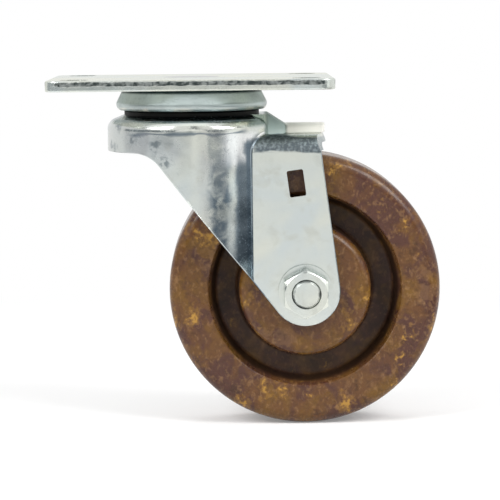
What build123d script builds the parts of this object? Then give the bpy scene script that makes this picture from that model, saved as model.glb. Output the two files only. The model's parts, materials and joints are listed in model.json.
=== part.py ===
from build123d import *
import math
import os

# Swivel plate castor with a moulded phenolic wheel.
# Origin: centre of the plate's mounting face, on the swivel axis, +Z up.
# +X points from the swivel axis towards the wheel, the axle runs along Y.
# All sizes in millimetres.

# Top plate
plate_length = 105.6
plate_width = 79.4
plate_thickness = 4.0
plate_corner_radius = 5.0
plate_edge_softening = 0.6
bolt_spacing_x = 85.0
bolt_spacing_y = 57.2
bolt_slot_width = 8.7
bolt_slot_length = 10.5

# Kingpin, its nut and the running fit shared by the turned pieces
kingpin_diameter = 12.0
kingpin_head_diameter = 21.0
kingpin_head_depth = 3.4
kingpin_end_chamfer = 1.2
kingpin_nut_across_flats = 19.0
kingpin_nut_height = 9.0
kingpin_thread_showing = 1.5
fit_clearance = 0.05
hexagon_face_step = 0.2
hexagon_chamfer_angle = 30

# Upper race cup
cup_height = 8.1
cup_top_beyond_ball_ring = 5.5
cup_belly_beyond_ball_ring = 8.7
cup_belly_depth = 6.4
cup_lip_beyond_ball_ring = 7.1
cup_lip_wall = 1.7
cup_flange_thickness = 3.0
cup_top_bend = 0.8
cup_belly_bend = 2.4
cup_lip_bend = 0.7
race_clearance = 0.05

# Balls
upper_ball_diameter = 7.94
upper_ball_ring_radius = 20.2
upper_ball_count = 15
upper_ball_cover = 1.95
upper_race_inner_wrap = 0.75
lower_ball_diameter = 4.76
lower_ball_ring_radius = 10.7
lower_ball_count = 13
lower_race_neck_wrap = 0.6
lower_race_foot_wrap = 0.75
lower_race_foot_thickness = 2.6
lower_race_neck_taper = 0.9
lower_race_top_gap = 0.6

# Fork pressing
sheet_thickness = 3.0
head_drop = 13.9
head_flat_radius = 25.6
head_edge_slope = 22.0
skirt_radius = 31.8
shoulder_radius = 4.2
skirt_rim_drop = 27.4
skirt_rim_blend = 12.0
crown_drop = 9.0
crown_hole_radius = 7.5
crown_wall_radius = 16.3
crown_wall_slope = 0.6
crown_edge_radius = 1.2
groove_lip_width = 1.0
groove_lip_height = 1.2
groove_lip_radius = 0.3
pocket_straight = 1.0
pocket_flare = 3.0
leg_outer = 22.9
bend_radius = 6.6
web_drop = 21.2
web_end_radius = 50.1
web_end_flare = 3.2
web_end_flare_depth = 6.8
trailing_top_below_web = 5.8
rib_height = 3.2
rib_top_half_width = 11.0
rib_foot_half_width = 12.9
rib_top_blend = 3.4
rib_foot_blend = 1.2
ramp_start = 28.6
ramp_end = 35.0
ramp_top_half_width = 13.0
ramp_foot_half_width = 16.0
crease_blend = 1.2
cut_edge_radius = 0.4
edge_finding_band = 0.05
leg_end_radius = 13.0
leading_edge_angle = 51.9
trailing_edge_angle = 7.5
window_x = 38.7
window_drop = 39.1
window_width = 6.1
window_height = 9.9
window_corner_radius = 0.7

# Dust seal
seal_beyond_ball_ring = 3.5
seal_wall = 1.7
seal_gap = 0.25
seal_edge_radius = 0.4

# Wheel
swivel_offset = 41.8
wheel_top_clearance = 4.4
wheel_diameter = 101.6
wheel_width = 31.75
tread_shoulder_radius = 4.6
rim_inner_radius = 36.2
groove_outer_radius = 33.6
groove_inner_radius = 25.4
groove_floor_half_width = 5.0
groove_fillet = 1.6
hub_length = 37.2
hub_face_radius = 24.4
hub_edge_radius = 3.3
rim_edge_radius = 0.8
bore_edge_radius = 0.6

# Axle hardware
axle_diameter = 10.0
axle_hex_across_flats = 16.0
axle_nut_height = 8.0
axle_head_height = 6.4
axle_end_beyond_nut = 1.0
axle_end_chamfer = 0.75
axle_hole_clearance = 0.1
nut_mouth_diameter = 11.0
washer_diameter = 20.3
washer_thickness = 2.0
thrust_washer_diameter = 26.0
thrust_washer_thickness = 1.0

# Wheel bearing
sleeve_wall = 1.3
roller_diameter = 4.0
roller_length = 31.0
roller_count = 8
roller_clearance = 0.05
cage_wall = 2.4

# Values that follow from the sizes above
axle_drop = web_drop + sheet_thickness + wheel_top_clearance + wheel_diameter / 2
cup_top_radius = upper_ball_ring_radius + cup_top_beyond_ball_ring
cup_belly_radius = upper_ball_ring_radius + cup_belly_beyond_ball_ring
cup_lip_radius = upper_ball_ring_radius + cup_lip_beyond_ball_ring
seal_seat_radius = upper_ball_ring_radius + seal_beyond_ball_ring
seal_outer_radius = seal_seat_radius + seal_wall
leg_inner = leg_outer - sheet_thickness
sleeve_outer_radius = axle_diameter / 2 + fit_clearance + sleeve_wall
roller_ring_radius = sleeve_outer_radius + roller_clearance + roller_diameter / 2
wheel_bore_radius = roller_ring_radius + roller_diameter / 2 + roller_clearance
upper_ball_radius = upper_ball_diameter / 2
lower_ball_radius = lower_ball_diameter / 2
upper_ball_drop = plate_thickness + upper_ball_cover + race_clearance + upper_ball_radius
crown_underside_drop = crown_drop + sheet_thickness
lower_ball_drop = crown_underside_drop + race_clearance + lower_ball_radius
cup_lip_drop = plate_thickness + cup_height
lower_race_drop = lower_ball_drop + lower_ball_radius + race_clearance + lower_race_foot_thickness
kingpin_end_drop = lower_race_drop + kingpin_nut_height + kingpin_thread_showing
nut_seat = leg_outer + washer_thickness
axle_place = Location((swivel_offset, 0, -axle_drop))


def side_face(points, radii):
    """Closed face in the XZ plane from corner points and one fillet radius for each corner."""
    outline = FilletPolyline(*points, radius=radii, close=True)
    return Plane.XZ * make_face(outline)


def turned(points, radii=0):
    """Solid turned about the swivel axis from a half section of radius and height."""
    if isinstance(radii, (int, float)):
        radii = [radii] * len(points)
    return revolve(side_face(points, radii), Axis.Z)


def turned_on_axle(points, radii=0):
    """Solid turned about the axle from a half section of radius and place along Y."""
    upright = turned([(radius, -along) for radius, along in points], radii)
    return axle_place * (Rotation(90, 0, 0) * upright)


def ring_groove(ring_radius, drop, ball_radius):
    """Ring whose section is the ball's running groove."""
    section = Pos(ring_radius, -drop) * Circle(ball_radius + race_clearance)
    return revolve(Plane.XZ * section, Axis.Z)


def drum(radius, top, bottom):
    """Upright cylinder between two heights on the swivel axis."""
    return Pos(0, 0, (top + bottom) / 2) * Cylinder(radius, top - bottom)


def hexagon_block(across_flats, height, chamfer_both_ends=True):
    """Hexagon prism standing on z = 0, with its corners turned off at the ends."""
    corner_radius = across_flats / math.sqrt(3)
    block = extrude(RegularPolygon(corner_radius, 6, rotation=30), height)
    face_radius = across_flats / 2 - hexagon_face_step
    drop = (corner_radius - face_radius) * math.tan(math.radians(hexagon_chamfer_angle))
    section = [
        (0, 0),
        (face_radius if chamfer_both_ends else corner_radius, 0),
        (corner_radius, drop if chamfer_both_ends else 0),
        (corner_radius, height - drop),
        (face_radius, height),
        (0, height),
    ]
    if not chamfer_both_ends:
        section.pop(2)
    return block & turned(section)


# Plate side

def build_top_plate():
    outline = RectangleRounded(plate_length, plate_width, plate_corner_radius)
    plate = extrude(outline, -plate_thickness)
    rims = plate.faces().filter_by(Axis.Z).edges()
    plate = fillet(rims, plate_edge_softening)
    slot = extrude(SlotOverall(bolt_slot_length, bolt_slot_width), -plate_thickness)
    for place in GridLocations(bolt_spacing_x, bolt_spacing_y, 2, 2):
        plate -= place * slot
    return plate - kingpin_blank(fit_clearance)


def kingpin_blank(growth):
    """Countersunk head and shank, grown by a clearance when it cuts its own hole."""
    head = kingpin_head_diameter / 2 + growth
    shank = kingpin_diameter / 2 + growth
    section = [
        (0, 0),
        (head, 0),
        (shank, -kingpin_head_depth),
        (shank, -kingpin_end_drop + kingpin_end_chamfer),
        (shank - kingpin_end_chamfer, -kingpin_end_drop),
        (0, -kingpin_end_drop),
    ]
    return turned(section)


def build_upper_race_cup():
    bore = kingpin_diameter / 2 + fit_clearance
    top = -plate_thickness
    lip = -cup_lip_drop
    section = [
        (bore, top),
        (cup_top_radius, top),
        (cup_belly_radius, top - cup_belly_depth),
        (cup_lip_radius, lip),
        (cup_lip_radius - cup_lip_wall, lip),
        (upper_ball_ring_radius + upper_ball_radius + race_clearance, -upper_ball_drop),
        (upper_ball_ring_radius, -upper_ball_drop),
        (upper_ball_ring_radius - upper_ball_radius * upper_race_inner_wrap, top - cup_flange_thickness),
        (bore, top - cup_flange_thickness),
    ]
    radii = [0, cup_top_bend, cup_belly_bend, cup_lip_bend, cup_lip_bend, 0, 0, 0, 0]
    cup = turned(section, radii)
    return cup - ring_groove(upper_ball_ring_radius, upper_ball_drop, upper_ball_radius)


def build_lower_race():
    bore = kingpin_diameter / 2 + fit_clearance
    neck = lower_ball_ring_radius - lower_ball_radius * lower_race_neck_wrap
    foot = lower_ball_ring_radius + lower_ball_radius * lower_race_foot_wrap
    top = -crown_underside_drop - lower_race_top_gap
    section = [
        (bore, top),
        (neck - lower_race_neck_taper, top),
        (neck, -lower_ball_drop),
        (foot, -lower_ball_drop - lower_ball_radius * lower_race_foot_wrap),
        (foot, -lower_race_drop),
        (bore, -lower_race_drop),
    ]
    cone = turned(section)
    return cone - ring_groove(lower_ball_ring_radius, lower_ball_drop, lower_ball_radius)


def build_kingpin_nut():
    nut = hexagon_block(kingpin_nut_across_flats, kingpin_nut_height)
    nut = Pos(0, 0, -lower_race_drop - kingpin_nut_height) * nut
    return nut - kingpin_blank(fit_clearance)


# Swivel bearing

def ball_ring(count, ring_radius, ball_radius, drop):
    places = PolarLocations(ring_radius, count)
    balls = [Pos(0, 0, -drop) * place * Sphere(ball_radius) for place in places]
    return Compound(children=balls)


# Fork side

def web_section():
    """Outer outline across the fork: legs, bends, web and raised rib, well past the leg ends."""
    foot = -axle_drop - leg_end_radius * 3
    web = -web_drop
    rib = web + rib_height
    half = [
        (leg_outer, foot, 0),
        (leg_outer, web, bend_radius),
        (rib_foot_half_width, web, rib_foot_blend),
        (rib_top_half_width, rib, rib_top_blend),
    ]
    mirrored = [(-across, height, radius) for across, height, radius in reversed(half)]
    corners = half + mirrored
    points = [(across, height) for across, height, radius in corners]
    return make_face(FilletPolyline(*points, radius=[c[2] for c in corners], close=True))


def channel(inset):
    """Prism along X that fills the channel, inset by the sheet for its inner skin."""
    section = web_section()
    if inset:
        section = offset(section, -inset)
    start = crown_hole_radius
    reach = web_end_radius + leg_end_radius * 2
    return Pos(start, 0, 0) * extrude(Plane.YZ * section, reach)


def drawn_head(inset):
    """Round head, sloped edge and skirt, inset by the sheet for its inner skin."""
    slope = math.radians(head_edge_slope)
    flat_edge = head_flat_radius - inset * math.tan(slope / 2)
    flat = -head_drop - inset
    side = skirt_radius - inset
    corner = flat - (side - flat_edge) * math.tan(slope)
    foot = -axle_drop - leg_end_radius * 2
    section = [(0, flat), (flat_edge, flat), (side, corner), (side, foot), (0, foot)]
    return turned(section, [0, 0, shoulder_radius - inset, 0, 0])


def ramp_section(top_half_width, foot_half_width, top, inset):
    """Section across the ramp, whose foot lies well inside the channel."""
    half = [
        (foot_half_width, -axle_drop),
        (foot_half_width, -web_drop),
        (top_half_width, top),
    ]
    mirrored = [(-across, height) for across, height in reversed(half)]
    section = make_face(Polyline(*half, *mirrored, close=True))
    if inset:
        section = offset(section, -inset, kind=Kind.INTERSECTION)
    return section


def head_ramp(inset):
    """Ramp that leads from the head down to the rib, inset by the sheet for its inner skin."""
    rib = rib_height - web_drop
    at_head = ramp_section(ramp_top_half_width, ramp_foot_half_width, -head_drop, inset)
    at_rib = ramp_section(rib_top_half_width, rib_foot_half_width, rib, inset)
    slope = math.atan2(rib + head_drop, ramp_end - ramp_start)
    shift = inset * math.tan(slope / 2)
    high = ramp_start - shift
    low = ramp_end - shift
    level = extrude(Plane.YZ.offset(crown_hole_radius) * at_head, high - crown_hole_radius, dir=(1, 0, 0))
    sloped = loft([Plane.YZ.offset(high) * at_head, Plane.YZ.offset(low) * at_rib], ruled=True)
    return level + sloped


def skin_form(inset):
    """Solid inside the pressing's skin: head, channel and ramp."""
    form = drawn_head(inset) + channel(inset)
    return form + head_ramp(inset)


def blended_creases(form):
    """Round the concave creases where the skirt runs into the legs and their bends."""
    creases = []
    for edge in form.edges():
        middle = edge.position_at(0.5)
        off_skirt = abs(math.hypot(middle.X, middle.Y) - skirt_radius)
        beside_ramp = middle.X > 0 and abs(middle.Y) > ramp_foot_half_width
        if beside_ramp and off_skirt < edge_finding_band:
            creases.append(edge)
    return fillet(creases, crease_blend)


def trimmed_shell(shell, trim):
    """Cut the shell to the trim's outline and round the edges that this leaves on both skins."""
    pressing = shell & trim
    border = trim.shell()
    cut_edges = []
    for edge in pressing.edges():
        middle = Vertex(edge.position_at(0.5))
        if border.distance_to(middle) < edge_finding_band:
            cut_edges.append(edge)
    return fillet(cut_edges, cut_edge_radius)


def fork_trim():
    """Side outline of the pressing: rim, leading edge, round leg end, trailing edge."""
    lead = math.radians(leading_edge_angle)
    trail = math.radians(trailing_edge_angle)
    centre = (swivel_offset, -axle_drop)
    lead_touch = (
        centre[0] - leg_end_radius * math.sin(lead),
        centre[1] - leg_end_radius * math.cos(lead),
    )
    trail_touch = (
        centre[0] + leg_end_radius * math.cos(trail),
        centre[1] + leg_end_radius * math.sin(trail),
    )
    end_angle = math.radians((trailing_edge_angle - 90 - leading_edge_angle) / 2)
    middle = (
        centre[0] + leg_end_radius * math.cos(end_angle),
        centre[1] + leg_end_radius * math.sin(end_angle),
    )
    rim = -skirt_rim_drop
    reach = skirt_radius * 1.5
    clear_of_web = web_end_radius * 1.2
    knee_x = lead_touch[0] - (rim - lead_touch[1]) / math.tan(lead)
    trail_top = -web_drop - trailing_top_below_web
    trail_top_x = trail_touch[0] - (trail_top - trail_touch[1]) * math.tan(trail)
    rim_line = FilletPolyline(
        (-reach, rim), (knee_x, rim), lead_touch, radius=[skirt_rim_blend]
    )
    edges = [
        *rim_line.edges(),
        ThreePointArc(lead_touch, middle, trail_touch),
        Line(trail_touch, (trail_top_x, trail_top)),
        Line((trail_top_x, trail_top), (clear_of_web, trail_top)),
        Line((clear_of_web, trail_top), (clear_of_web, 0)),
        Line((clear_of_web, 0), (-reach, 0)),
        Line((-reach, 0), (-reach, rim)),
    ]
    outline = Plane.XZ * make_face(edges)
    return extrude(outline, skirt_radius * 1.2, both=True)


def web_end_trim():
    """The web ends on an arc about the swivel axis that runs out into the legs."""
    flare_drop = web_drop + web_end_flare_depth
    flare_radius = web_end_radius + web_end_flare
    foot = -axle_drop - leg_end_radius * 2
    widening = web_end_flare / web_end_flare_depth
    section = [
        (0, 0),
        (web_end_radius, 0),
        (web_end_radius, -web_drop),
        (flare_radius, -flare_drop),
        (flare_radius + (-flare_drop - foot) * widening, foot),
        (0, foot),
    ]
    return turned(section)


def crown_fill():
    """Raised centre of the head, which carries both ball tracks."""
    wall = crown_wall_radius
    flat = -head_drop
    section = [
        (0, -crown_drop),
        (wall, -crown_drop),
        (wall + crown_wall_slope, -upper_ball_drop),
        (upper_ball_ring_radius, -upper_ball_drop),
        (seal_seat_radius - groove_lip_width, flat + groove_lip_height),
        (seal_seat_radius - fit_clearance, flat),
        (seal_seat_radius - fit_clearance, flat - sheet_thickness),
        (0, flat - sheet_thickness),
    ]
    return turned(section, [0, crown_edge_radius, 0, 0, groove_lip_radius, 0, 0, 0])


def crown_hollow():
    """Space under the crown where the lower balls and their cone sit."""
    pocket = lower_ball_ring_radius + lower_ball_radius + race_clearance
    floor = -head_drop - sheet_thickness
    top = -crown_underside_drop
    section = [
        (0, top),
        (lower_ball_ring_radius, top),
        (pocket, -lower_ball_drop),
        (pocket, -lower_ball_drop - pocket_straight),
        (pocket + pocket_flare, floor),
        (0, floor),
    ]
    hollow = turned(section)
    hollow += drum(crown_hole_radius, 0, floor)
    return hollow + ring_groove(lower_ball_ring_radius, lower_ball_drop, lower_ball_radius)


def leg_window():
    """Small upright window through both legs, parallel to the trailing edge."""
    outline = RectangleRounded(window_width, window_height, window_corner_radius)
    outline = Rot(0, 0, trailing_edge_angle) * outline
    cut = extrude(Plane.XZ * outline, skirt_radius, both=True)
    return Pos(window_x, 0, -window_drop) * cut


def axle_hole():
    radius = axle_diameter / 2 + axle_hole_clearance
    return axle_place * (Rotation(90, 0, 0) * Cylinder(radius, skirt_radius * 2))


def build_fork():
    shell = blended_creases(skin_form(0)) - skin_form(sheet_thickness)
    pressing = trimmed_shell(shell, fork_trim()) & web_end_trim()
    pressing = pressing + crown_fill()
    pressing = pressing - crown_hollow()
    pressing = pressing - ring_groove(upper_ball_ring_radius, upper_ball_drop, upper_ball_radius)
    return pressing - leg_window() - axle_hole()


def build_dust_seal():
    low = -head_drop
    high = -cup_lip_drop - seal_gap
    section = [
        (seal_seat_radius, low),
        (seal_outer_radius, low),
        (seal_outer_radius, high),
        (seal_seat_radius, high),
    ]
    return turned(section, [0, 0, seal_edge_radius, seal_edge_radius])


def build_axle_bolt():
    """Near end at -Y carries the nut, hexagon head at +Y."""
    radius = axle_diameter / 2
    near_end = -nut_seat - axle_nut_height - axle_end_beyond_nut
    shank = turned_on_axle([
        (0, near_end),
        (radius - axle_end_chamfer, near_end),
        (radius, near_end + axle_end_chamfer),
        (radius, nut_seat),
        (0, nut_seat),
    ])
    head = hexagon_block(axle_hex_across_flats, axle_head_height, chamfer_both_ends=False)
    head = Pos(swivel_offset, nut_seat, -axle_drop) * (Rotation(-90, 0, 0) * head)
    return shank + head


def build_axle_nut():
    nut = hexagon_block(axle_hex_across_flats, axle_nut_height)
    bore = axle_diameter / 2 + fit_clearance
    mouth = nut_mouth_diameter / 2
    depth = mouth - bore
    nut -= turned([
        (0, 0),
        (mouth, 0),
        (bore, depth),
        (bore, axle_nut_height - depth),
        (mouth, axle_nut_height),
        (0, axle_nut_height),
    ])
    return Pos(swivel_offset, -nut_seat, -axle_drop) * (Rotation(90, 0, 0) * nut)


def axle_ring(inner_radius, outer_radius, start, end):
    """Plain ring on the axle between two places along Y."""
    return turned_on_axle([
        (inner_radius, start),
        (outer_radius, start),
        (outer_radius, end),
        (inner_radius, end),
    ])


def build_leg_washer(side):
    inner = axle_diameter / 2 + axle_hole_clearance
    start, end = sorted((side * leg_outer, side * nut_seat))
    return axle_ring(inner, washer_diameter / 2, start, end)


def build_thrust_washer(side):
    inner = sleeve_outer_radius + fit_clearance
    start, end = sorted((side * leg_inner, side * (leg_inner - thrust_washer_thickness)))
    return axle_ring(inner, thrust_washer_diameter / 2, start, end)


def build_axle_sleeve():
    return axle_ring(axle_diameter / 2 + fit_clearance, sleeve_outer_radius, -leg_inner, leg_inner)


# Wheel and its bearing

def build_wheel():
    rim_side = wheel_width / 2
    hub_side = hub_length / 2
    half = [
        (wheel_bore_radius, hub_side, bore_edge_radius),
        (hub_face_radius, hub_side, hub_edge_radius),
        (groove_inner_radius, groove_floor_half_width, groove_fillet),
        (groove_outer_radius, groove_floor_half_width, groove_fillet),
        (rim_inner_radius, rim_side, rim_edge_radius),
        (wheel_diameter / 2, rim_side, tread_shoulder_radius),
    ]
    mirrored = [(radius, -along, blend) for radius, along, blend in reversed(half)]
    corners = half + mirrored
    points = [(radius, along) for radius, along, blend in corners]
    return turned_on_axle(points, [corner[2] for corner in corners])


def roller_places():
    return PolarLocations(roller_ring_radius, roller_count)


def build_roller_cage():
    half = hub_length / 2
    inner = roller_ring_radius - cage_wall / 2
    tube = Cylinder(inner + cage_wall, half * 2) - Cylinder(inner, half * 2)
    slot = Cylinder(roller_diameter / 2 + roller_clearance, roller_length + roller_clearance * 2)
    for place in roller_places():
        tube -= place * slot
    return axle_place * (Rotation(90, 0, 0) * tube)


def build_roller(place):
    roller = Cylinder(roller_diameter / 2, roller_length)
    return axle_place * (Rotation(90, 0, 0) * (place * roller))


# Every node by name

def build_nodes():
    nodes = {
        "top_plate": build_top_plate(),
        "upper_race_cup": build_upper_race_cup(),
        "kingpin": kingpin_blank(0),
        "kingpin_nut": build_kingpin_nut(),
        "lower_race": build_lower_race(),
        "upper_balls": ball_ring(
            upper_ball_count, upper_ball_ring_radius, upper_ball_radius, upper_ball_drop
        ),
        "lower_balls": ball_ring(
            lower_ball_count, lower_ball_ring_radius, lower_ball_radius, lower_ball_drop
        ),
        "fork": build_fork(),
        "dust_seal": build_dust_seal(),
        "axle_bolt": build_axle_bolt(),
        "axle_nut": build_axle_nut(),
        "nut_washer": build_leg_washer(-1),
        "head_washer": build_leg_washer(1),
        "axle_sleeve": build_axle_sleeve(),
        "thrust_washer_near": build_thrust_washer(-1),
        "thrust_washer_far": build_thrust_washer(1),
        "wheel": build_wheel(),
        "roller_cage": build_roller_cage(),
    }
    for number, place in enumerate(roller_places(), start=1):
        nodes[f"roller_{number}"] = build_roller(place)
    return nodes


os.makedirs("parts", exist_ok=True)
for name, shape in build_nodes().items():
    export_step(shape, f"parts/{name}.step")
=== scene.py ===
import json
import math

import bpy
from mathutils import Matrix, Vector

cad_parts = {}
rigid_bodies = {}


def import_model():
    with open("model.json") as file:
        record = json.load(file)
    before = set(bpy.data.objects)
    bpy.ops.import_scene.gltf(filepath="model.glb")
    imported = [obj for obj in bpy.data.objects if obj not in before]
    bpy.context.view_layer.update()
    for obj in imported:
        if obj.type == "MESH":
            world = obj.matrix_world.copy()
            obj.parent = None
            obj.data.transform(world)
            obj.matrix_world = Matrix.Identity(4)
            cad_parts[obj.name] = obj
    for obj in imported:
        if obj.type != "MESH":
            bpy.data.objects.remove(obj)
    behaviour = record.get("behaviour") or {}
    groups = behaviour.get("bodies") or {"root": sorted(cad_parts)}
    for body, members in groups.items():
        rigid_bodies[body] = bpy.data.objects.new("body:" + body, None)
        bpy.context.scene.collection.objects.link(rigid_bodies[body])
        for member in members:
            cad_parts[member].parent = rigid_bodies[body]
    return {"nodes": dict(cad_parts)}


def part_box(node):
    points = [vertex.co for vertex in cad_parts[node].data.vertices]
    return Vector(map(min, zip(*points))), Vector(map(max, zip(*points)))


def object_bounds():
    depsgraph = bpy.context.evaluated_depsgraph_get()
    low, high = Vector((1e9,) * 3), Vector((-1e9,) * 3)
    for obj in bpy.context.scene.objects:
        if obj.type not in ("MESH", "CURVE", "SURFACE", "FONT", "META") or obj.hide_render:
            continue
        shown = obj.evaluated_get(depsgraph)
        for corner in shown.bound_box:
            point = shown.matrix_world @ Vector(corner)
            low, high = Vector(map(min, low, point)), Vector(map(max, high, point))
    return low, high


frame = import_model()

# The start-up file's own objects are no part of this scene.
for leftover in [o for o in bpy.data.objects if o.name in ("Cube", "Camera", "Light")]:
    bpy.data.objects.remove(leftover)
CAD_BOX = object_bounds()


def corners_of(node):
    low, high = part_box(node)
    return Vector(low), Vector(high)


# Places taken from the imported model, in metres
SLEEVE_WALL = 0.00135
SLEEVE_LOW, SLEEVE_HIGH = corners_of("axle_sleeve")
PLATE_LOW, PLATE_HIGH = corners_of("top_plate")
CUP_LOW, CUP_HIGH = corners_of("upper_race_cup")
BOLT_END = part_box("axle_bolt")[0][1]
AXLE = (SLEEVE_LOW + SLEEVE_HIGH) / 2
BOLT_RADIUS = (SLEEVE_HIGH.z - SLEEVE_LOW.z) / 2 - SLEEVE_WALL
PLATE_THICKNESS = PLATE_HIGH.z - PLATE_LOW.z
GROUND = CAD_BOX[0][2]

# Places on the fork, in metres: the web's top face, the legs' start, and the ramp up to the raised rib
WEB_TOP = -0.0212
LEG_START = 0.0225
RAMP_START = 0.0275
RAMP_END = 0.0356

# Levels in the fork's finish, each with half the width of its soft step, in metres
HEAD_SLOPE = (-0.0180, 0.0010)
HEAD_FOOT = (-0.0300, 0.0040)
HEAD_LEFT = (-0.0020, 0.0080)
NEAR_SIDE = (-0.0020, 0.0020)
SKIRT_START = (0.0045, 0.0015)
LEFT_BAND_TOP = (-0.0210, 0.0015)
RIGHT_BAND_TOP = (-0.0300, 0.0030)
CORNER_TOP = (-0.0235, 0.0010)
CREASE_TOP = (-0.0225, 0.0010)
BEHIND_CREASE = (LEG_START + 0.0005, 0.0015)
RAMP_FOOT = (WEB_TOP - 0.0009, 0.0005)
CROWN_FOOT = (WEB_TOP + 0.0003, 0.0005)
CROWN_START = (RAMP_END, 0.0008)

# Stretches of the fork's finish, from low to high with half the width of the soft ends, in metres
SHOULDER_HIGHLIGHT_HEIGHTS = (-0.0320, -0.0200, 0.0015)
CUT_HEIGHTS = (-0.0300, -0.0222, 0.0004)
BEND_HEIGHTS = (WEB_TOP - 0.0062, WEB_TOP - 0.0007, 0.0004)
SHOULDER_LINE_LENGTH = (-0.0225, 0.0200, 0.0020)
BESIDE_RAMP = (LEG_START - 0.0015, RAMP_START, 0.0008)
CREASE_LENGTH = (LEG_START - 0.0022, LEG_START + 0.0040, 0.0004)
RAMP_LENGTH = (RAMP_START, RAMP_END, 0.0008)

# Stretches of the skirt, for its painted highlight and painted dark reflections, by how far it faces along
# X, from 0 to 1, with half the width of the soft ends
SHOULDER_HIGHLIGHT_TURN = (0.36, 0.80, 0.060)
LEFT_BAND_TURN = (0.20, 0.44, 0.050)
RIGHT_BAND_TURN = (0.53, 0.76, 0.035)
CORNER_TURN = (0.62, 0.80, 0.030)

# Lines and marks in the fork's finish, in metres; the shoulder's line and the skirt's and bend's bands are
# painted dark reflections
SHOULDER_LINE = -0.0202
SHOULDER_LINE_WANDER = 0.0045
SHOULDER_LINE_THIN = 0.0004
SHOULDER_LINE_THICK = 0.0016
LEFT_BAND_FAINT = -0.0200
LEFT_BAND_FULL = -0.0460
BEND_WANDER = 0.0045
CUT_FULL = 0.0350

# Tool marks on the near side of the head, in metres: middle along X and Z, and reach
HEAD_MARKS = (
    (-0.0272, -0.0178, 0.0020),
    (-0.0288, -0.0248, 0.0017),
    (-0.0214, -0.0229, 0.0014),
    (-0.0136, -0.0248, 0.0026),
    (-0.0102, -0.0300, 0.0028),
)
MARK_RAGGED = 0.0052
MARK_FLATTENED = 0.65

# Zones on the plate's edge, as shares of the plate's thickness
TORN_FROM = 0.12
TORN_TO = 0.52
TORN_SOFT = 0.04
TORN_WANDER = 0.30

# Zones on the cup, bolt and wheel, in metres
CUP_LINE_FROM = CUP_HIGH.z - 0.0021
CUP_LINE_FULL = CUP_HIGH.z - 0.0011
LIP_FROM = CUP_LOW.z + 0.0016
LIP_FULL = CUP_LOW.z + 0.0004
THREAD_RING = (BOLT_RADIUS * 0.90, BOLT_RADIUS * 1.09, BOLT_RADIUS * 0.02)
THREAD_END = (BOLT_END + 0.0035, 0.0005)
GROOVE_INNER = 0.0246
GROOVE_OUTER = 0.0352
GROOVE_RING = (GROOVE_INNER, GROOVE_OUTER, 0.0005)
HUB_FOOT = (GROOVE_INNER - 0.0003, GROOVE_INNER + 0.0004, 0.0002)
RIM_FOOT = (GROOVE_OUTER - 0.0016, GROOVE_OUTER - 0.0002, 0.0005)
GROOVE_SHADE_HALF_WIDTH = 0.0135
GROOVE_SHADE_SOFT = 0.0006

# Depths of bumps, in metres
SAG_DEPTH = 0.0007
WAVE_DEPTH = 0.00014
RIPPLE_DEPTH = 0.000014
GRAIN_DEPTH = 0.0000035
TORN_DEPTH = 0.00008
TURNED_DEPTH = 0.000006
MOULDED_DEPTH = 0.00001
RESIN_DEPTH = 0.000018

# Finishes, linear colours
ZINC_WARM = (0.68, 0.70, 0.63)
ZINC_BLUE = (0.61, 0.66, 0.65)
ZINC_DULL = (0.54, 0.61, 0.59)
ZINC_SHADE = (0.40, 0.45, 0.44)
# Painted cream highlight on the cup's lip
LIP_PAINTED_HIGHLIGHT = (0.80, 0.76, 0.66)
# Painted cream highlight on the rib's crown
CROWN_PAINTED_HIGHLIGHT = (0.93, 0.92, 0.84)
# Painted teal shade on the ramp up to the rib and beside it
RAMP_PAINTED_TEAL = (0.20, 0.27, 0.25)
# Painted shade on the head's slope, and the painted dark of the skirt's bands, the shoulder's line and the
# crease
SLOPE_PAINTED_SHADE = (0.20, 0.26, 0.28)
SKIRT_PAINTED_SHADE = (0.12, 0.165, 0.205)
# Painted dark reflection on the bend over the leg, mottled with the grey below; that grey also tints the
# web's cut edge
BEND_PAINTED_DARK = (0.075, 0.100, 0.120)
BEND_GREY = (0.26, 0.31, 0.33)
PLATE_GRAZING = (0.95, 0.95, 0.91)
TORN_DARK = (0.05, 0.062, 0.060)
TORN_LIGHT = (0.26, 0.28, 0.27)
# Painted shade on the cup just under the plate
CUP_PAINTED_SHADE = (0.02, 0.035, 0.035)
# Dark thread and painted shade in the gap at the nut's mouth
THREAD_AND_GAP_SHADE = (0.10, 0.11, 0.11)
MARK_DARK = (0.13, 0.17, 0.19)
HEAD_GREY = (0.48, 0.50, 0.51)
# Painted highlight on the head's shoulder
SHOULDER_PAINTED_HIGHLIGHT = (0.92, 0.93, 0.92)
DRIFT_GREY = (0.36, 0.365, 0.38)
RUBBER_BLACK = (0.0025, 0.0025, 0.002)
CAGE_BLACK = (0.03, 0.03, 0.03)
STEEL_GREY = (0.50, 0.51, 0.51)
PHENOLIC_BROWN = (0.128, 0.055, 0.020)
PHENOLIC_GOLD = (0.165, 0.080, 0.015)
PHENOLIC_PURPLE = (0.084, 0.035, 0.024)
PHENOLIC_DARK = (0.050, 0.022, 0.010)
PHENOLIC_TAN = (0.300, 0.165, 0.070)
PHENOLIC_AMBER = (0.450, 0.240, 0.045)
# Painted shade in the wheel's groove and at the feet of hub and rim
PHENOLIC_GROOVE_SHADE = (0.018, 0.008, 0.004)

# Roughness of the finishes, for zinc its clean and its dusty value
FORK_ROUGHNESS = (0.18, 0.36)
PLATE_ROUGHNESS = (0.24, 0.40)
CUP_ROUGHNESS = (0.34, 0.62)
FASTENER_ROUGHNESS = (0.20, 0.46)
BEND_ROUGHNESS = 0.42
RIB_ROUGHNESS = 0.50
THREAD_ROUGHNESS = 0.50
TORN_ROUGHNESS = 0.55
GROOVE_ROUGHNESS = 0.55

# How metallic the rib's crown with its painted cream highlight is, from 0 to 1
CROWN_METAL = 0.10

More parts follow.
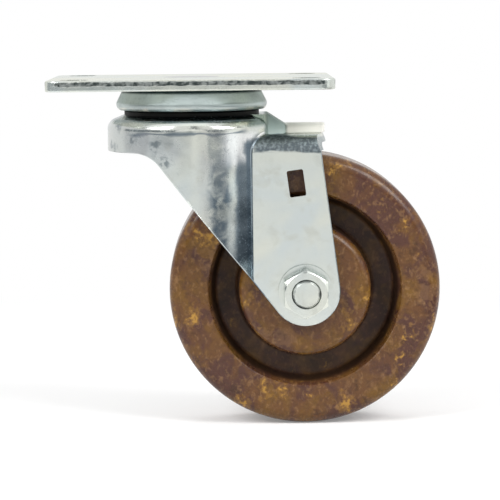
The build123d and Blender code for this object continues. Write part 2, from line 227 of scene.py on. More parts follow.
# Shares that darken or lighten a finish's own colour in its pattern
STAIN_SHARE = 0.82
TURNING_SHARE = 0.8
MOULDED_SHARE = 1.7

# Flecks in the resin, the same kinds laid three times over in different directions
FLECK_TURNS = ((0.4, 0.7, 0.2), (1.3, 2.1, 0.9), (2.2, 0.3, 1.7))
HAZE = {"cells": 90, "size": 0.42, "share": 0.40, "ragged": 0.010, "stretch": (0.8, 0.6, 1)}
BLOT = {"cells": 120, "size": 0.32, "share": 0.30, "ragged": 0.008, "stretch": (1, 0.8, 1)}
HALO = {"cells": 140, "size": 0.50, "share": 0.20, "ragged": 0.011, "stretch": (1, 0.75, 0.70)}
SPARK = {"cells": 140, "size": 0.28, "share": 0.20, "ragged": 0.009, "stretch": (1, 0.75, 0.70)}
FLECK_EDGE_SCALE = 420
SMALLEST_FLECK = 0.4
FLECK_SOFT = 0.35

# Camera, in metres and degrees, fitted to a square frame of 500 pixels
FRAME_PIXELS = 500
FOCAL_PIXELS = 2513
SENSOR_WIDTH_MM = 36
CAMERA_PLACE = Vector((0.0125, -0.950, 0.0273))
CAMERA_PAN = math.radians(0.541)
CAMERA_TILT = math.radians(5.604)
CAMERA_ROLL = math.radians(-0.6)

# Floor and world, in metres and radiance
FLOOR_SIDE = 12.0
FLOOR_GAP = 0.0002
FLOOR_WHITE = 0.80
FLOOR_SPECK = 0.788
FLOOR_GLOW = 0.22
FLOOR_NEAR = 0.10
FLOOR_FAR = 0.42
WORLD_FILL = 0.55

# Lamps: turn from -Y towards +X and rise in degrees, distance, width and height in metres, power in watts
LAMP_TARGET = Vector((0.02, 0, -0.06))
LAMPS = {
    "softbox_left": (-52, 38, 1.3, 0.60, 0.60, 9),
    "softbox_right": (50, 40, 1.3, 0.55, 0.70, 10),
    "softbox_back": (170, 50, 1.4, 0.80, 0.50, 3),
}

# Lamps that metal does not mirror, so that the plate's top keeps its tones from above
LAMPS_NOT_MIRRORED = ("softbox_back",)

# Cards that only reflections see, in radiance and metres
CARD_DARK = (0.050, 0.075, 0.095)
CARD_GREY = (0.30, 0.35, 0.38)
CARD_BRIGHT = (1.25, 1.28, 1.28)
CARD_RADIUS = 0.62
CARD_CENTRE_Z = -0.05
CARD_STEPS = 12
CARD_OVER_FLOOR = 0.001
FLOOR_CARD_NEAR = 0.25

# Standing cards: turn from and to, rise from and to in degrees, darkest and lightest radiance
STANDING_CARDS = {
    "card_front": (0.6, 8.5, 13, 80, CARD_DARK, CARD_DARK),
    "card_line_left": (-100, 0.4, 1, 14, CARD_DARK, CARD_GREY),
    "card_line_right": (9, 46, 1, 14, CARD_DARK, CARD_GREY),
    "card_right": (65, 88, -12, -3.6, CARD_DARK, CARD_DARK),
    "card_mottled": (27, 47, -12, -4.2, CARD_DARK, CARD_GREY),
    "card_streak": (48, 64, -5.4, 12, CARD_BRIGHT, CARD_BRIGHT),
    "card_low": (46, 66, -12, -5.5, CARD_DARK, CARD_GREY),
}

# Floor cards: turn from and to in degrees, darkest and lightest radiance
FLOOR_CARDS = {
    "floor_dark": (62, 88, CARD_DARK, CARD_DARK),
    "floor_mottled": (27, 62, CARD_DARK, CARD_GREY),
}

# Bright strip under the plate, in metres
STRIP_UNDER_PLATE = 0.0005
STRIP_LEFT = -0.034
STRIP_RIGHT = 0.019
STRIP_FRONT = PLATE_LOW.y + 0.001
STRIP_BACK = -0.0285

# Inputs and output of a Mix node, by number because its colours and numbers share their names
COLOUR_SOCKETS = (6, 7, 2)
NUMBER_SOCKETS = (2, 3, 0)


class Graph:
    """Small helper that adds nodes to one material and links them."""

    def __init__(self, name):
        self.material = bpy.data.materials.new(name)
        self.material.use_nodes = True
        self.tree = self.material.node_tree
        self.tree.nodes.clear()
        self.output = self.tree.nodes.new("ShaderNodeOutputMaterial")
        self.place = self.add("ShaderNodeTexCoord").outputs["Object"]

    def add(self, kind, **settings):
        node = self.tree.nodes.new(kind)
        for name, value in settings.items():
            setattr(node, name, value)
        return node

    def feed(self, socket, value):
        """Link a socket into the input, or write a number or colour on it."""
        if isinstance(value, bpy.types.NodeSocket):
            self.tree.links.new(value, socket)
        elif isinstance(value, tuple) and len(value) == 3 and len(socket.default_value) == 4:
            socket.default_value = (*value, 1)
        else:
            socket.default_value = value

    def surface(self, shader):
        """Use a shader as the material's surface."""
        self.feed(self.output.inputs["Surface"], shader)
        return self.material

    def principled(self, **inputs):
        """Principled shader as the surface, with its sockets by name."""
        node = self.add("ShaderNodeBsdfPrincipled")
        for name, value in inputs.items():
            self.feed(node.inputs[name.replace("_", " ")], value)
        return self.surface(node.outputs["BSDF"])

    def math(self, operation, first, second=0.0):
        node = self.add("ShaderNodeMath", operation=operation)
        self.feed(node.inputs[0], first)
        self.feed(node.inputs[1], second)
        return node.outputs["Value"]

    def times(self, *factors):
        """Product of two or more values."""
        product = factors[0]
        for factor in factors[1:]:
            product = self.math("MULTIPLY", product, factor)
        return product

    def vector(self, operation, first, second=(0, 0, 0)):
        node = self.add("ShaderNodeVectorMath", operation=operation)
        self.feed(node.inputs[0], first)
        self.feed(node.inputs[1], second)
        return node.outputs["Value" if operation == "LENGTH" else "Vector"]

    def mixed(self, data_type, sockets, factor, first, second):
        """Mix of two values, whose two inputs and output are found by number."""
        node = self.add("ShaderNodeMix", data_type=data_type)
        self.feed(node.inputs["Factor"], factor)
        self.feed(node.inputs[sockets[0]], first)
        self.feed(node.inputs[sockets[1]], second)
        return node.outputs[sockets[2]]

    def mix(self, factor, first, second):
        """Mix of two colours."""
        return self.mixed("RGBA", COLOUR_SOCKETS, factor, first, second)

    def blend(self, factor, first, second):
        """Mix of two numbers."""
        return self.mixed("FLOAT", NUMBER_SOCKETS, factor, first, second)

    def tint(self, colour, other, mask, strength=1.0):
        """Colour drawn towards another one where the mask is 1."""
        return self.mix(self.times(mask, strength), colour, other)

    def ramp(self, value, low, high, start=0.0, end=1.0):
        """Value between low and high, stretched smoothly to start and end."""
        node = self.add("ShaderNodeMapRange", interpolation_type="SMOOTHSTEP")
        self.feed(node.inputs["Value"], value)
        for name, number in (("From Min", low), ("From Max", high), ("To Min", start), ("To Max", end)):
            self.feed(node.inputs[name], number)
        return node.outputs["Result"]

    def band(self, value, low, high, soft):
        """1 between low and high, with soft edges."""
        rise = self.ramp(value, low - soft, low + soft)
        fall = self.ramp(value, high - soft, high + soft, 1.0, 0.0)
        return self.times(rise, fall)

    def along(self, axis):
        """Object coordinate along X, Y or Z."""
        node = self.add("ShaderNodeSeparateXYZ")
        self.feed(node.inputs[0], self.place)
        return node.outputs[axis]

    def above(self, axis, level, soft):
        """1 past a level along an axis, with a soft step."""
        return self.ramp(self.along(axis), level - soft, level + soft)

    def below(self, axis, level, soft):
        """1 short of a level along an axis, with a soft step."""
        return self.ramp(self.along(axis), level + soft, level - soft)

    def from_axle(self):
        """Distance from the axle's centre line."""
        arm = self.vector("SUBTRACT", self.place, tuple(AXLE))
        return self.vector("LENGTH", self.vector("MULTIPLY", arm, (1, 0, 1)))

    def facing(self, axis):
        """How far the surface faces along an axis, from 0 to 1, either way."""
        normal = self.add("ShaderNodeSeparateXYZ")
        self.feed(normal.inputs[0], self.add("ShaderNodeTexCoord").outputs["Normal"])
        return self.math("ABSOLUTE", normal.outputs[axis])

    def mapped(self, stretch, turn, shift):
        """Object coordinates, turned, stretched and shifted."""
        mapping = self.add("ShaderNodeMapping")
        self.feed(mapping.inputs["Vector"], self.place)
        self.feed(mapping.inputs["Rotation"], turn)
        self.feed(mapping.inputs["Scale"], stretch)
        self.feed(mapping.inputs["Location"], shift)
        return mapping.outputs["Vector"]

    def noise(self, scale, detail=2, distortion=0, stretch=(1, 1, 1), turn=(0, 0, 0), shift=(0, 0, 0)):
        """Noise value from 0 to 1 with a scale in features per metre."""
        node = self.add("ShaderNodeTexNoise")
        self.feed(node.inputs["Vector"], self.mapped(stretch, turn, shift))
        self.feed(node.inputs["Scale"], scale)
        self.feed(node.inputs["Detail"], detail)
        self.feed(node.inputs["Distortion"], distortion)
        return node.outputs["Fac"]

    def patches(self, low, high, start=0.0, end=1.0, **noise):
        """Noise between its values low and high, stretched smoothly to start and end."""
        return self.ramp(self.noise(**noise), low, high, start, end)

    def wander(self, reach, **noise):
        """Noise about zero, to move an edge by up to half the reach either way."""
        return self.times(self.math("SUBTRACT", self.noise(**noise), 0.5), reach)

    def flecks(self, cells, size, share, ragged, stretch, turn, shift):
        """Scattered ragged flecks: cells per metre, size and share of the cells that hold one."""
        edge = self.add("ShaderNodeTexNoise")
        self.feed(edge.inputs["Vector"], self.place)
        self.feed(edge.inputs["Scale"], FLECK_EDGE_SCALE)
        self.feed(edge.inputs["Detail"], 3)
        centred = self.vector("SUBTRACT", edge.outputs["Color"], (0.5, 0.5, 0.5))
        moved = self.vector("MULTIPLY", centred, (ragged, ragged, ragged))
        cell = self.add("ShaderNodeTexVoronoi")
        self.feed(cell.inputs["Vector"], self.vector("ADD", self.mapped(stretch, turn, shift), moved))
        self.feed(cell.inputs["Scale"], cells)
        parts = self.add("ShaderNodeSeparateColor")
        self.feed(parts.inputs["Color"], cell.outputs["Color"])
        chosen = self.math("LESS_THAN", parts.outputs["Red"], share)
        grown = self.ramp(parts.outputs["Green"], 0, 1, size * SMALLEST_FLECK, size)
        near = self.math("SUBTRACT", grown, cell.outputs["Distance"])
        return self.times(self.ramp(near, 0, size * FLECK_SOFT), chosen)

    def bump(self, height, depth, normal=None):
        """Surface normal from a height value and its depth in metres, over a normal if one is given."""
        node = self.add("ShaderNodeBump")
        self.feed(node.inputs["Strength"], 1.0)
        self.feed(node.inputs["Distance"], depth)
        self.feed(node.inputs["Height"], height)
        if normal is not None:
            self.feed(node.inputs["Normal"], normal)
        return node.outputs["Normal"]


def scaled(colour, share):
    return tuple(channel * share for channel in colour)


# Metal

def plating(g, warm, cool, clean, dusty, speckle=0.50, sag_depth=0.0):
    """Colour, roughness and normal of zinc plating: cloudy tint, dull specks, waves of the sheet."""
    cloud = g.patches(0.38, 0.62, scale=34, detail=3, distortion=0.6)
    colour = g.mix(cloud, warm, cool)
    stain = g.patches(0.52, 0.74, 0.0, 0.55, scale=160, detail=4, distortion=0.5, shift=(2, 5, 3))
    colour = g.mix(stain, colour, scaled(warm, STAIN_SHARE))
    specks = g.patches(speckle, speckle + 0.22, scale=1300)
    groups = g.patches(0.36, 0.62, 0.15, 1.0, scale=230, detail=3, distortion=0.4, shift=(1, 8, 4))
    off_the_flat = g.ramp(g.facing("Y"), 0.990, 0.9995, 1.0, 0.30)
    rough = g.blend(g.times(specks, groups, off_the_flat), clean, dusty)
    round_part = g.ramp(g.facing("Y"), 0.975, 0.9995, 1.0, 0.0)
    sag = g.noise(scale=36, detail=1, distortion=0.3, stretch=(1, 1, 0.8), shift=(6, 2, 1))
    normal = g.bump(g.times(sag, round_part), sag_depth)
    normal = g.bump(g.noise(scale=95, detail=1, distortion=0.3), WAVE_DEPTH, normal)
    normal = g.bump(g.noise(scale=380), RIPPLE_DEPTH, normal)
    normal = g.bump(g.noise(scale=1200), GRAIN_DEPTH, normal)
    return colour, rough, normal


def head_tones(g, colour):
    """Greyer left part of the drawn head, a painted highlight on the shoulder, and a wandering painted dark
    reflection line under it.
    """
    left_part = g.times(g.above("Z", *HEAD_FOOT), g.below("X", *HEAD_LEFT))
    colour = g.tint(colour, HEAD_GREY, left_part, 0.45)
    # Painted highlight: a white band on the shoulder
    glow = g.times(g.band(g.facing("X"), *SHOULDER_HIGHLIGHT_TURN), g.above("X", *SKIRT_START))
    glow = g.times(glow, g.band(g.along("Z"), *SHOULDER_HIGHLIGHT_HEIGHTS))
    colour = g.tint(colour, SHOULDER_PAINTED_HIGHLIGHT, glow, 0.9)
    # Painted dark reflection: a thin wandering line at the shoulder's foot
    wander = g.wander(SHOULDER_LINE_WANDER, scale=55, detail=3, distortion=0.4, shift=(9, 1, 4))
    off_line = g.math("SUBTRACT", g.math("SUBTRACT", g.along("Z"), SHOULDER_LINE), wander)
    thickness = g.patches(0.35, 0.65, SHOULDER_LINE_THIN, SHOULDER_LINE_THICK, scale=90, shift=(1, 7, 5))
    line = g.ramp(g.math("ABSOLUTE", off_line), thickness, 0.0)
    line = g.times(line, g.ramp(g.facing("Z"), 0.55, 0.25), g.band(g.along("X"), *SHOULDER_LINE_LENGTH))
    return g.tint(colour, SKIRT_PAINTED_SHADE, line, 0.85)


def tool_marks(g, colour):
    """Ragged dark marks of the press on the near side of the head."""
    near_side = g.below("Y", *NEAR_SIDE)
    for across, level, reach in HEAD_MARKS:
        arm = g.vector("SUBTRACT", g.place, (across, 0, level))
        apart = g.vector("LENGTH", g.vector("MULTIPLY", arm, (1, 0, MARK_FLATTENED)))
        ragged = g.math("ADD", apart, g.wander(MARK_RAGGED, scale=240, detail=4))
        broken = g.patches(0.42, 0.58, 0.15, 1.0, scale=520, detail=3)
        mark = g.times(g.ramp(ragged, reach, reach * 0.2), near_side, broken)
        colour = g.tint(colour, MARK_DARK, mark, 0.72)
    return colour


def skirt_bands(g, colour):
    """Painted shade on the slope round the head, grey drifts, and painted dark reflections in bands where
    the skirt turns to the legs.
    """
    slope = g.times(g.ramp(g.facing("Z"), 0.62, 0.88), g.above("Z", *HEAD_SLOPE))
    cloud = g.patches(0.35, 0.60, 0.55, 1.0, scale=55, detail=3, distortion=0.5, shift=(3, 3, 8))
    colour = g.tint(colour, SLOPE_PAINTED_SHADE, g.times(slope, cloud))
    drift = g.patches(0.46, 0.66, 0.0, 0.5, scale=58, detail=3, distortion=0.5, stretch=(1, 1, 0.35),
                      shift=(4, 6, 2))
    curved = g.ramp(g.facing("X"), 0.04, 0.16)
    colour = g.tint(colour, DRIFT_GREY, g.times(drift, curved))
    # Painted dark reflections: bands on the skirt by how far it turns towards the legs
    turned = g.math("ADD", g.facing("X"), g.wander(0.22, scale=80, detail=3))
    ahead = g.above("X", *SKIRT_START)
    right = g.times(g.band(turned, *RIGHT_BAND_TURN), g.below("Z", *RIGHT_BAND_TOP))
    corner = g.times(g.band(turned, *CORNER_TURN), g.below("Z", *CORNER_TOP))
    right = g.times(g.math("MAXIMUM", right, corner), ahead)
    colour = g.tint(colour, SKIRT_PAINTED_SHADE, right, 0.85)
    fade = g.ramp(g.along("Z"), LEFT_BAND_FAINT, LEFT_BAND_FULL, 0.30, 1.0)
    left = g.times(g.band(turned, *LEFT_BAND_TURN), fade, g.below("Z", *LEFT_BAND_TOP))
    mottle = g.patches(0.36, 0.60, 0.20, 1.0, scale=230, detail=5, distortion=0.4)
    return g.tint(colour, SKIRT_PAINTED_SHADE, g.times(left, mottle, ahead), 0.92)


def crease_tones(g, colour):
    """Painted teal shade before the ramp, and a painted dark shade line down the crease between skirt and
    leg.
    """
    teal = g.times(g.band(g.along("X"), *BESIDE_RAMP), g.above("Z", *HEAD_SLOPE))
    colour = g.tint(colour, RAMP_PAINTED_TEAL, teal, 0.75)
    crease = g.band(g.along("X"), *CREASE_LENGTH)
    crease = g.times(crease, g.ramp(g.facing("X"), 0.005, 0.030), g.below("Z", *CREASE_TOP))
    return g.tint(colour, SKIRT_PAINTED_SHADE, crease, 0.75)


def bend_tones(g, colour, rough):
    """Colour and roughness with a painted dark mottled reflection on the bend over the leg, and the web's
    grey cut edge.
    """
    level = g.math("ADD", g.along("Z"), g.wander(BEND_WANDER, scale=60, detail=3))
    bend = g.times(g.band(level, *BEND_HEIGHTS), g.above("X", *BEHIND_CREASE))
    bend = g.times(bend, g.ramp(g.facing("X"), 0.9, 0.7))
    mottle = g.mix(g.patches(0.40, 0.72, scale=880, detail=3), BEND_PAINTED_DARK, BEND_GREY)
    colour = g.tint(colour, mottle, bend, 0.9)
    rough = g.blend(bend, rough, BEND_ROUGHNESS)
    cut = g.times(g.ramp(g.facing("X"), 0.75, 0.90), g.ramp(g.along("X"), LEG_START, CUT_FULL))
    cut = g.times(cut, g.band(g.along("Z"), *CUT_HEIGHTS))
    return g.tint(colour, BEND_GREY, cut, 0.75), rough


def fork_zinc():
    """Bright plating on the pressed fork, with tool marks, painted highlights, painted shade and painted
    dark reflections where it is drawn and bent, and a painted cream highlight on the rib's crown.
    """
    g = Graph("fork_zinc_finish")
    colour, rough, normal = plating(g, ZINC_WARM, ZINC_BLUE, *FORK_ROUGHNESS, sag_depth=SAG_DEPTH)
    colour = head_tones(g, colour)
    colour = tool_marks(g, colour)
    colour = skirt_bands(g, colour)
    colour = crease_tones(g, colour)
    # Painted teal shade on the ramp up to the rib
    ramp = g.times(g.above("Z", *RAMP_FOOT), g.band(g.along("X"), *RAMP_LENGTH))
    colour = g.tint(colour, RAMP_PAINTED_TEAL, ramp, 0.8)
    colour, rough = bend_tones(g, colour, rough)
    # Painted highlight: the rib's crown is cream and hardly metallic
    crown = g.times(g.above("Z", *CROWN_FOOT), g.above("X", *CROWN_START))
    colour = g.tint(colour, CROWN_PAINTED_HIGHLIGHT, crown)
    rough = g.blend(g.math("MAXIMUM", ramp, crown), rough, RIB_ROUGHNESS)
    metal = g.blend(crown, 1.0, CROWN_METAL)
    return g.principled(Base_Color=colour, Metallic=metal, Roughness=rough, Normal=normal)


def plate_zinc():
    """Plate: bright faces, and an edge with a dark torn zone over a smoother light one."""
    g = Graph("plate_zinc_finish")
    colour, rough, normal = plating(g, ZINC_WARM, ZINC_BLUE, *PLATE_ROUGHNESS)
    depth = g.math("SUBTRACT", PLATE_HIGH.z, g.along("Z"))
    depth = g.math("ADD", depth, g.wander(PLATE_THICKNESS * TORN_WANDER, scale=260, detail=4))
    torn = g.band(depth, *(PLATE_THICKNESS * share for share in (TORN_FROM, TORN_TO, TORN_SOFT)))
    side = g.ramp(g.facing("Z"), 0.55, 0.35)
    corner = g.times(g.ramp(g.facing("X"), 0.15, 0.40), g.ramp(g.facing("Y"), 0.15, 0.40))
    torn = g.times(torn, side, g.math("SUBTRACT", 1.0, corner))
    fracture = g.mix(g.patches(0.36, 0.64, scale=620, detail=4, distortion=0.5), TORN_DARK, TORN_LIGHT)
    colour = g.tint(colour, fracture, torn)
    rough = g.blend(torn, rough, TORN_ROUGHNESS)
    grit = g.patches(0.40, 0.60, scale=900, detail=3)
    normal = g.bump(g.times(grit, torn), TORN_DEPTH, normal)
    return g.principled(Base_Color=colour, Metallic=1.0, Roughness=rough, Normal=normal,
                        Specular_Tint=PLATE_GRAZING)


def cup_zinc():
    """Duller plating, with painted shade where the cup meets the plate and a painted cream highlight on its
    lip.
    """
    g = Graph("cup_zinc_finish")
    colour, rough, normal = plating(g, ZINC_DULL, ZINC_SHADE, *CUP_ROUGHNESS, speckle=0.44)
    under_plate_shade = g.ramp(g.along("Z"), CUP_LINE_FROM, CUP_LINE_FULL)
    colour = g.tint(colour, CUP_PAINTED_SHADE, under_plate_shade)
    lip = g.times(g.ramp(g.along("Z"), LIP_FROM, LIP_FULL), g.patches(0.40, 0.62, scale=210, detail=3))
    colour = g.tint(colour, LIP_PAINTED_HIGHLIGHT, lip)
    return g.principled(Base_Color=colour, Metallic=1.0, Roughness=rough, Normal=normal)


def fastener_zinc():
    """Plated bolt, nut and washers, with a dark thread and painted shade in the gap where the bolt shows at
    the nut's mouth.
    """
    g = Graph("fastener_zinc_finish")
    colour, rough, normal = plating(g, ZINC_WARM, ZINC_BLUE, *FASTENER_ROUGHNESS)
    thread = g.times(g.band(g.from_axle(), *THREAD_RING), g.below("Y", *THREAD_END))
    broken = g.patches(0.35, 0.60, 0.25, 0.85, scale=420)
    colour = g.tint(colour, THREAD_AND_GAP_SHADE, g.times(thread, broken))
    rough = g.blend(thread, rough, THREAD_ROUGHNESS)
    return g.principled(Base_Color=colour, Metallic=1.0, Roughness=rough, Normal=normal)


def steel(name, colour, roughness):
    """Ground or turned steel with fine marks."""
    g = Graph(name)
    marks = g.noise(scale=900, detail=3, stretch=(1, 6, 1))
    shade = g.mix(g.ramp(marks, 0.3, 0.7), colour, scaled(colour, TURNING_SHARE))
    rough = g.patches(0.3, 0.7, roughness * 0.8, roughness * 1.25, scale=400, detail=3)
    return g.principled(Base_Color=shade, Metallic=1.0, Roughness=rough, Normal=g.bump(marks, TURNED_DEPTH))


# Rubber and resin

def dull(name, colour, roughness):
    """Rubber or plain moulded plastic with a fine grain."""
    g = Graph(name)
    shade = g.mix(g.patches(0.3, 0.7, scale=160, detail=3), colour, scaled(colour, MOULDED_SHARE))
    normal = g.bump(g.noise(scale=1100, detail=4), MOULDED_DEPTH)
    return g.principled(Base_Color=shade, Roughness=roughness, Normal=normal, Specular_IOR_Level=0.15)


def resin_clouds(g):
    """Brown resin with gold and purple clouds and a dark grain."""
    gold = g.patches(0.42, 0.68, scale=60, detail=5, distortion=1.2)
    colour = g.mix(gold, PHENOLIC_BROWN, PHENOLIC_GOLD)
    purple = g.patches(0.46, 0.60, scale=85, detail=5, distortion=0.8, shift=(3, 1, 2))
    colour = g.tint(colour, PHENOLIC_PURPLE, purple)
    grain = g.patches(0.40, 0.75, 0.0, 0.45, scale=650, detail=5, distortion=0.4)
    return g.tint(colour, PHENOLIC_DARK, grain)


def resin_cloth(g, colour):
    """Chopped cloth in the resin: tan fibres and haze, dark blots, amber sparks with a halo."""
    for number, turn in enumerate(FLECK_TURNS):
        shift = (number * 0.5, 0.2, 0.9)
        fibre = g.patches(0.59, 0.70, 0.0, 0.36, scale=620, detail=3, distortion=0.5,
                          stretch=(1, 0.22, 0.7), turn=turn, shift=shift)
        colour = g.tint(colour, PHENOLIC_TAN, fibre)
        colour = g.tint(colour, PHENOLIC_TAN, g.flecks(**HAZE, turn=turn, shift=shift), 0.26)
    for number, turn in enumerate(FLECK_TURNS):
        shift = (0.4, number * 0.6, 0.1)
        colour = g.tint(colour, PHENOLIC_DARK, g.flecks(**BLOT, turn=turn, shift=shift), 0.5)
        colour = g.tint(colour, PHENOLIC_AMBER, g.flecks(**HALO, turn=turn, shift=shift), 0.24)
        broken = g.patches(0.36, 0.52, scale=520, detail=3)
        spark = g.times(g.flecks(**SPARK, turn=turn, shift=shift), broken)
        colour = g.tint(colour, PHENOLIC_AMBER, spark, 0.85)
    return colour


def phenolic():
    """Moulded resin with chopped cloth, with painted shade and more roughness in the groove between hub and
    rim.
    """
    g = Graph("wheel_phenolic_finish")
    colour = resin_cloth(g, resin_clouds(g))
    # Painted shade: the groove darkens, most at the feet of hub and rim
    from_middle = g.math("ABSOLUTE", g.along("Y"))
    deep = g.ramp(from_middle, GROOVE_SHADE_HALF_WIDTH + GROOVE_SHADE_SOFT, GROOVE_SHADE_HALF_WIDTH - GROOVE_SHADE_SOFT)
    groove = g.times(g.band(g.from_axle(), *GROOVE_RING), deep)
    groove_shade = g.patches(0.35, 0.65, 0.76, 0.50, scale=190, detail=4, distortion=0.5)
    colour = g.tint(colour, PHENOLIC_GROOVE_SHADE, g.times(groove, groove_shade))
    feet = g.math("MAXIMUM", g.band(g.from_axle(), *HUB_FOOT), g.band(g.from_axle(), *RIM_FOOT))
    colour = g.tint(colour, PHENOLIC_GROOVE_SHADE, g.times(feet, deep), 0.75)
    rough = g.patches(0.3, 0.7, 0.22, 0.36, scale=260, detail=4)
    rough = g.blend(groove, rough, GROOVE_ROUGHNESS)
    normal = g.bump(g.noise(scale=500, detail=4), RESIN_DEPTH)
    return g.principled(Base_Color=colour, Roughness=rough, Normal=normal, Specular_IOR_Level=0.26,
                        Coat_Weight=0.08, Coat_Roughness=0.10)


def dress_nodes():
    """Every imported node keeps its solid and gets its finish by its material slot."""
    finishes = {
        "plate_zinc": plate_zinc(),
        "cup_zinc": cup_zinc(),
        "fork_zinc": fork_zinc(),
        "fastener_zinc": fastener_zinc(),
        "pin_steel": steel("pin_steel_finish", STEEL_GREY, 0.32),
        "race_steel": steel("race_steel_finish", STEEL_GREY, 0.22),
        "ball_steel": steel("ball_steel_finish", ZINC_BLUE, 0.10),
        "seal_rubber": dull("seal_rubber_finish", RUBBER_BLACK, 0.55),
        "wheel_phenolic": phenolic(),
        "cage_polymer": dull("cage_polymer_finish", CAGE_BLACK, 0.45),
    }
    for obj in frame["nodes"].values():
        for slot in obj.material_slots:
            slot.material = finishes[slot.material.name.split(".")[0]]


# Room, lights and camera

def put_in_scene(name, data):
    """New object in the scene's own collection."""
    thing = bpy.data.objects.new(name, data)
    bpy.context.scene.collection.objects.link(thing)
    return thing


def stage_mesh(name, points, faces, material):
    """Mesh that belongs to the room and not to the castor."""
    mesh = bpy.data.meshes.new(name)
    mesh.from_pydata(points, [], faces)
    mesh.materials.append(material)
    sheet = put_in_scene(name, mesh)
    return sheet


def place_camera():
    """Camera at the photo's place, pan, tilt and roll."""
    data = bpy.data.cameras.new("camera")
    data.sensor_width = SENSOR_WIDTH_MM
    data.lens = FOCAL_PIXELS * SENSOR_WIDTH_MM / FRAME_PIXELS
    data.clip_end = FLOOR_SIDE * 2
    forward = Vector((
        math.sin(CAMERA_PAN) * math.cos(CAMERA_TILT),
        math.cos(CAMERA_PAN) * math.cos(CAMERA_TILT),
        -math.sin(CAMERA_TILT),
    ))
    right = Vector((math.cos(CAMERA_PAN), -math.sin(CAMERA_PAN), 0))
    up = right.cross(forward)
    rolled_right = right * math.cos(CAMERA_ROLL) + up * math.sin(CAMERA_ROLL)
    rolled_up = up * math.cos(CAMERA_ROLL) - right * math.sin(CAMERA_ROLL)
    axes = Matrix((rolled_right, rolled_up, -forward)).transposed()
    camera = put_in_scene("camera", data)
    camera.matrix_world = Matrix.Translation(CAMERA_PLACE) @ axes.to_4x4()
    bpy.context.scene.camera = camera


def seen_directly(tree):
    """Socket that is 1 for camera, glossy and transmission rays, so that metal shows the same room."""
    path = tree.nodes.new("ShaderNodeLightPath")
    total = path.outputs["Is Camera Ray"]
    for name in ("Is Glossy Ray", "Is Transmission Ray"):
        both = tree.nodes.new("ShaderNodeMath")
        both.operation = "MAXIMUM"
        tree.links.new(total, both.inputs[0])
        tree.links.new(path.outputs[name], both.inputs[1])
        total = both.outputs["Value"]
    return total


def make_world():
    """White where it is seen, dimmer as light on the castor."""
    world = bpy.data.worlds.new("studio_world")
    bpy.context.scene.world = world
    world.use_nodes = True
    tree = world.node_tree
    strength = tree.nodes.new("ShaderNodeMapRange")
    strength.inputs["To Min"].default_value = WORLD_FILL
    tree.links.new(seen_directly(tree), strength.inputs["Value"])
    background = tree.nodes["Background"]
    background.inputs["Color"].default_value = (1, 1, 1, 1)
    tree.links.new(strength.outputs["Result"], background.inputs["Strength"])


def floor_paper(level):
    """Pale paper that keeps a soft shadow near the wheel and is plain white farther out."""
    g = Graph("floor_white")
    direct = seen_directly(g.tree)
    paper = g.add("ShaderNodeBsdfDiffuse")
    shade = g.mix(g.patches(0.2, 0.8, scale=30, detail=3), (FLOOR_WHITE,) * 3, (FLOOR_SPECK,) * 3)
    g.feed(paper.inputs["Color"], shade)
    glow = g.add("ShaderNodeEmission")
    g.feed(glow.inputs["Strength"], g.times(direct, FLOOR_GLOW))
    near = g.add("ShaderNodeAddShader")
    g.feed(near.inputs[0], paper.outputs["BSDF"])
    g.feed(near.inputs[1], glow.outputs["Emission"])
    distance = g.vector("LENGTH", g.vector("SUBTRACT", g.place, (AXLE.x, 0, level)))
    far = g.ramp(distance, FLOOR_NEAR, FLOOR_FAR)
    plain = g.add("ShaderNodeEmission")
    both = g.add("ShaderNodeMixShader")
    g.feed(both.inputs[0], g.times(far, direct))
    g.feed(both.inputs[1], near.outputs["Shader"])
    g.feed(both.inputs[2], plain.outputs["Emission"])
    return g.surface(both.outputs["Shader"])


def make_floor():
    half = FLOOR_SIDE / 2
    level = GROUND - FLOOR_GAP
    corners = [(-half, -half, level), (half, -half, level), (half, half, level), (-half, half, level)]
    stage_mesh("floor", corners, [(0, 1, 2, 3)], floor_paper(level))


def show_in_reflections(name, points, faces, dark, light):
    """Sheet that only reflections see, cloudy between two radiances."""
    g = Graph(name + "_cloth")
    cloth = g.add("ShaderNodeEmission")
    g.feed(cloth.inputs["Color"], g.mix(g.patches(0.35, 0.65, scale=14), dark, light))
    sheet = stage_mesh(name, points, faces, g.surface(cloth.outputs["Emission"]))
    sheet.visible_camera = False
    sheet.visible_diffuse = False
    sheet.visible_shadow = False


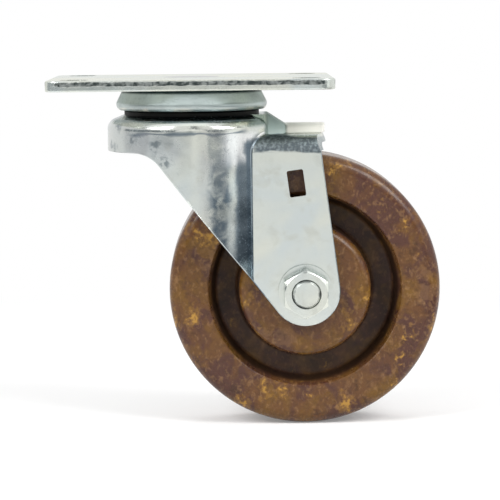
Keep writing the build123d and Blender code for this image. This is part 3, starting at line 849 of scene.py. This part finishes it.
def standing_card(name, turn_from, turn_to, rise_from, rise_to, dark, light):
    """Curved card round the castor. Turn is in degrees from -Y towards +X, rise from the horizon."""
    points = []
    faces = []
    for column in range(CARD_STEPS + 1):
        turn = math.radians(turn_from + (turn_to - turn_from) * column / CARD_STEPS)
        for row in range(CARD_STEPS + 1):
            rise = math.radians(rise_from + (rise_to - rise_from) * row / CARD_STEPS)
            flat = CARD_RADIUS * math.cos(rise)
            height = CARD_CENTRE_Z + CARD_RADIUS * math.sin(rise)
            points.append((flat * math.sin(turn), -flat * math.cos(turn), height))
    for column in range(CARD_STEPS):
        for row in range(CARD_STEPS):
            first = column * (CARD_STEPS + 1) + row
            after = first + CARD_STEPS + 1
            faces.append((first, first + 1, after + 1, after))
    show_in_reflections(name, points, faces, dark, light)


def floor_card(name, turn_from, turn_to, dark, light):
    """Flat sector just over the floor, from near the castor out to the standing cards."""
    points = []
    for turn in (math.radians(turn_from), math.radians(turn_to)):
        for reach in (FLOOR_CARD_NEAR, CARD_RADIUS):
            points.append((reach * math.sin(turn), -reach * math.cos(turn), GROUND + CARD_OVER_FLOOR))
    show_in_reflections(name, points, [(0, 1, 3, 2)], dark, light)


def plate_strip():
    """Bright strip just under the plate, which widens the highlight on the head's shoulder."""
    level = PLATE_LOW.z - STRIP_UNDER_PLATE
    front = [(x, STRIP_FRONT, level) for x in (STRIP_LEFT, STRIP_RIGHT)]
    back = [(x, STRIP_BACK, level) for x in (STRIP_RIGHT, STRIP_LEFT)]
    show_in_reflections("card_shoulder", front + back, [(0, 1, 2, 3)], CARD_BRIGHT, CARD_BRIGHT)


def softbox(name, turn, rise, distance, width, height, power):
    """Area lamp that looks at the castor from a turn and rise in degrees."""
    data = bpy.data.lights.new(name, "AREA")
    data.shape = "RECTANGLE"
    data.size = width
    data.size_y = height
    data.energy = power
    lamp = put_in_scene(name, data)
    lamp.visible_camera = False
    lamp.visible_glossy = name not in LAMPS_NOT_MIRRORED
    turn = math.radians(turn)
    rise = math.radians(rise)
    aim = Vector((math.sin(turn) * math.cos(rise), -math.cos(turn) * math.cos(rise), math.sin(rise)))
    lamp.location = LAMP_TARGET + aim * distance
    lamp.rotation_euler = aim.to_track_quat("Z", "Y").to_euler()


def light_room():
    make_world()
    for name, values in LAMPS.items():
        softbox(name, *values)
    for name, values in STANDING_CARDS.items():
        standing_card(name, *values)
    plate_strip()
    for name, values in FLOOR_CARDS.items():
        floor_card(name, *values)


bpy.context.scene.view_settings.view_transform = "Standard"
dress_nodes()
place_camera()
make_floor()
light_room()
